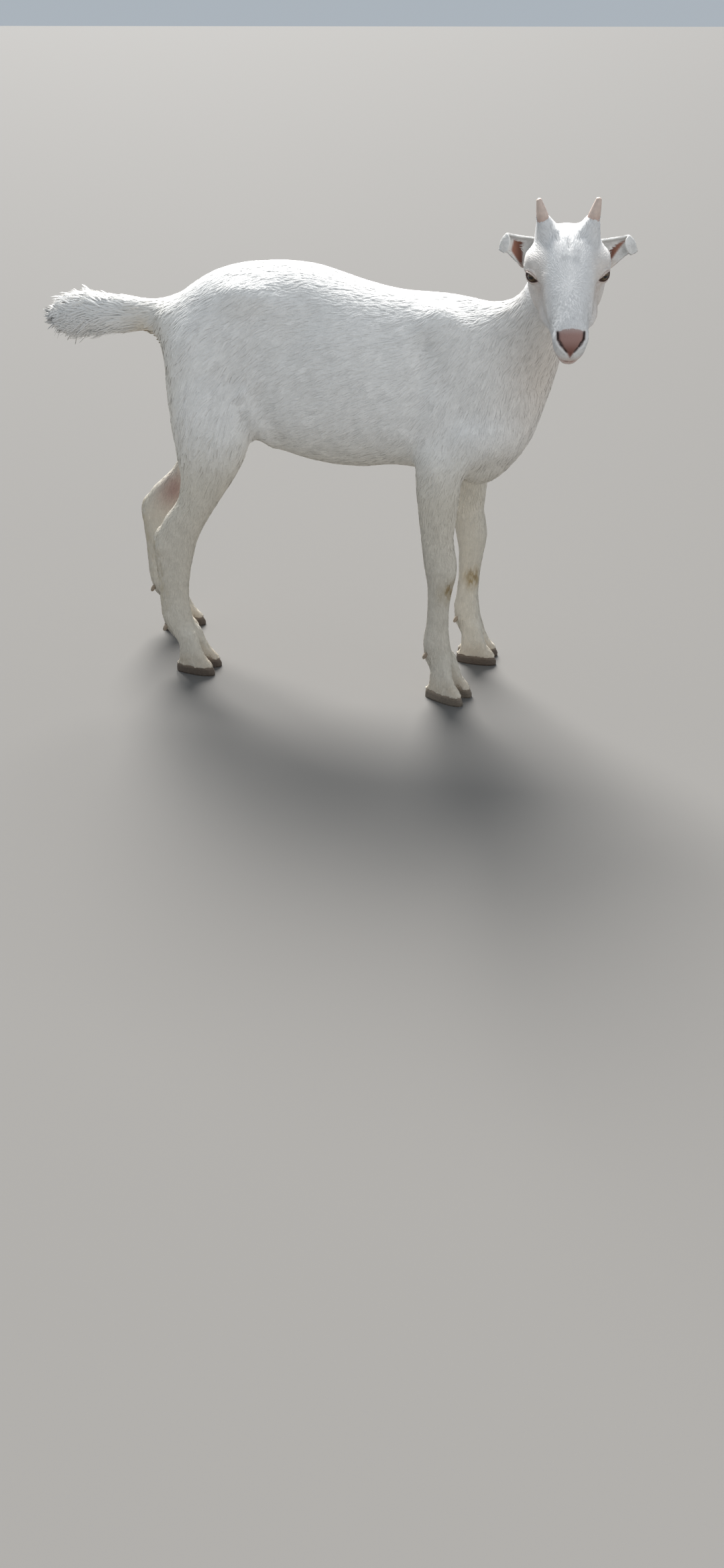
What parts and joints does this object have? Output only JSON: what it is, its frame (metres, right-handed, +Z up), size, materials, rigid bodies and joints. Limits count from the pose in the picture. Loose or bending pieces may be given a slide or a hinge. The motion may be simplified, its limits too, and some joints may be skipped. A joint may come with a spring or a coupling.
{
  "type": "goat",
  "caption": "Young white goat standing still with its head turned to its right, short horns, folded ears and a raised tail.",
  "frame": {"origin": "on the floor, under the middle of the goat's bounding box", "axes": "+X forward along the trunk, +Y to the goat's left, +Z up"},
  "size_m": [0.7966, 0.2824, 0.6891],
  "materials": {
    "coat": "short dense white hair",
    "hoof": "dull dark horn",
    "horn": "pale ridged horn",
    "eye": "wet and glossy"
  },
  "bodies": {
    "root": {"barrel": "coat", "chest": "coat", "ear_left": "coat", "ear_right": "coat", "eye_left": "eye", "eye_right": "eye", "fore_claw_inner_left": "hoof", "fore_claw_inner_right": "hoof", "fore_claw_outer_left": "hoof", "fore_claw_outer_right": "hoof", "fore_dewclaw_inner_left": "hoof", "fore_dewclaw_inner_right": "hoof", "fore_dewclaw_outer_left": "hoof", "fore_dewclaw_outer_right": "hoof", "foreleg_lower_left": "coat", "foreleg_lower_right": "coat", "foreleg_upper_left": "coat", "foreleg_upper_right": "coat", "head": "coat", "hind_claw_inner_left": "hoof", "hind_claw_inner_right": "hoof", "hind_claw_outer_left": "hoof", "hind_claw_outer_right": "hoof", "hind_dewclaw_inner_left": "hoof", "hind_dewclaw_inner_right": "hoof", "hind_dewclaw_outer_left": "hoof", "hind_dewclaw_outer_right": "hoof", "hindleg_gaskin_left": "coat", "hindleg_gaskin_right": "coat", "hindleg_lower_left": "coat", "hindleg_lower_right": "coat", "hindleg_thigh_left": "coat", "hindleg_thigh_right": "coat", "horn_left": "horn", "horn_right": "horn", "lower_jaw": "coat", "neck": "coat", "rump": "coat", "tail": "coat"}
  },
  "joints": []
}
